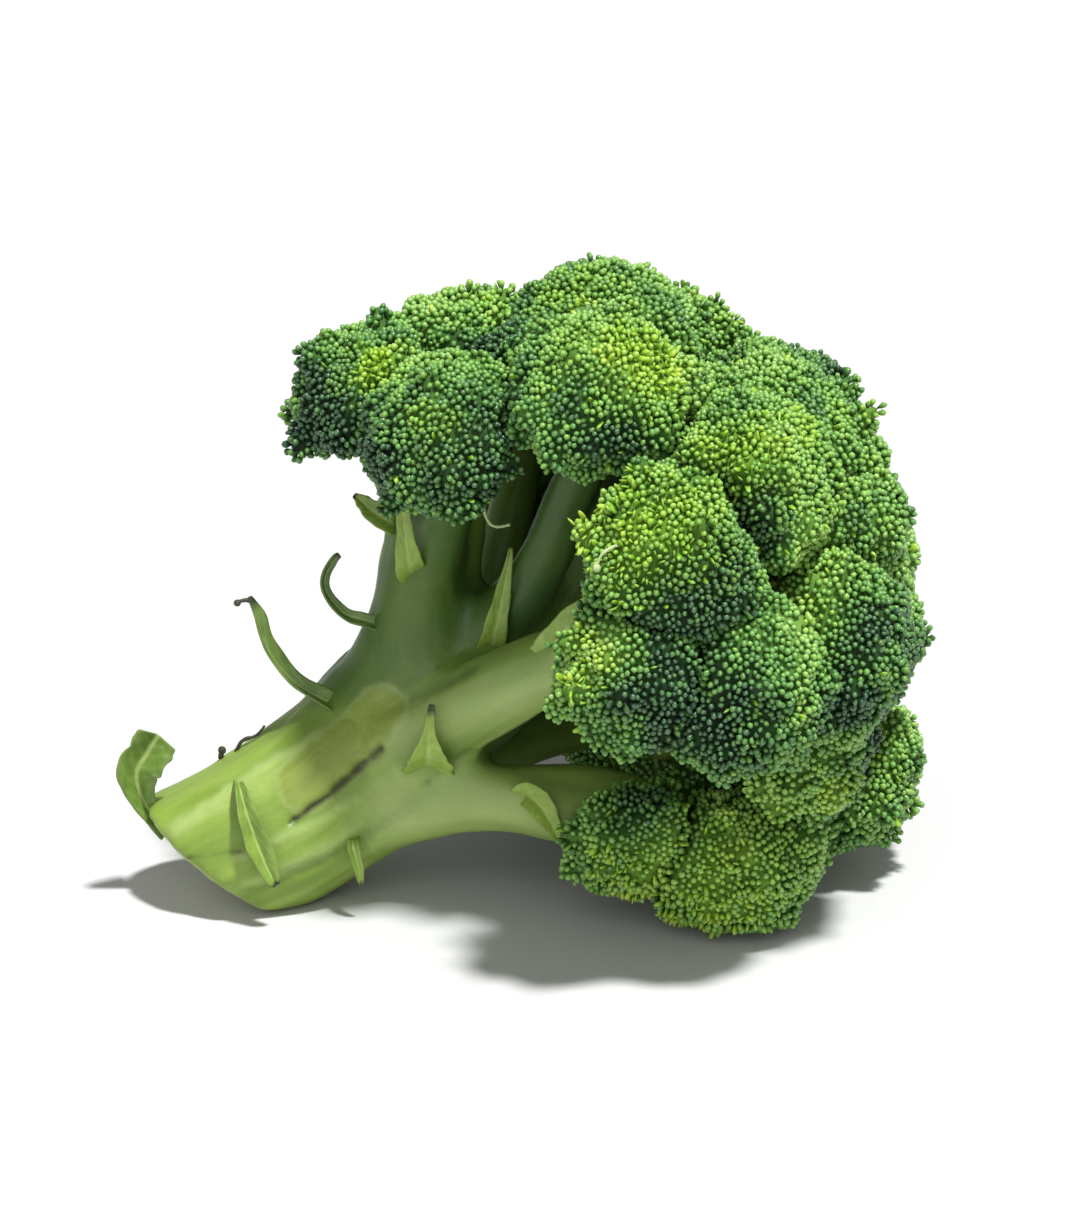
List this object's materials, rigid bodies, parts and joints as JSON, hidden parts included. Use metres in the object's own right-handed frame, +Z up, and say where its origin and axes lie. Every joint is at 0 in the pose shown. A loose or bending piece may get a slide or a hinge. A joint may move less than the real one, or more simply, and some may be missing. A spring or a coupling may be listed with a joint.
{
  "type": "broccoli head",
  "caption": "Fresh head of broccoli lying on its side: a cut stalk that forks into branches carrying dense heads of green buds, with small leaf stubs.",
  "frame": {"origin": "on the resting plane, under the middle of the head's bounding box", "axes": "+X from the stalk's cut end towards the crown, +Z up from the resting plane, and +Y to the left of the stalk's direction of growth"},
  "size_m": [0.1622, 0.15, 0.1309],
  "materials": {
    "bud_green": "matt, waxy dark green buds, with a blue bloom in the hollows and yellow-green on the crests",
    "stalk_green": "smooth, faintly waxy pale green stalk, paler towards the cut end",
    "leaf_green": "waxy mid-green leaf stubs with pale midribs"
  },
  "bodies": {
    "root": {"floret_back": "bud_green", "floret_back_left": "bud_green", "floret_back_low": "bud_green", "floret_back_low_left": "bud_green", "floret_back_low_middle": "bud_green", "floret_back_low_right": "bud_green", "floret_back_right": "bud_green", "floret_back_top_left": "bud_green", "floret_back_upper": "bud_green", "floret_back_upper_left": "bud_green", "floret_front": "bud_green", "floret_front_left": "bud_green", "floret_front_low_right": "bud_green", "floret_front_right": "bud_green", "floret_front_upper": "bud_green", "floret_front_upper_right": "bud_green", "floret_left_back": "bud_green", "floret_left_front": "bud_green", "floret_left_tip": "bud_green", "floret_low_front_left": "bud_green", "floret_low_front_right": "bud_green", "floret_low_middle": "bud_green", "floret_low_right": "bud_green", "floret_right": "bud_green", "floret_right_upper": "bud_green", "floret_top": "bud_green", "floret_top_front": "bud_green", "floret_top_left": "bud_green", "floret_top_right": "bud_green", "leaf_between": "leaf_green", "leaf_cut_end": "leaf_green", "leaf_fork": "leaf_green", "leaf_hook": "leaf_green", "leaf_left_branch": "leaf_green", "leaf_long": "leaf_green", "leaf_low": "leaf_green", "leaf_low_branch": "leaf_green", "leaf_mid": "leaf_green", "leaf_trunk": "leaf_green", "leaf_upper": "leaf_green", "stalk": "stalk_green"}
  },
  "joints": []
}
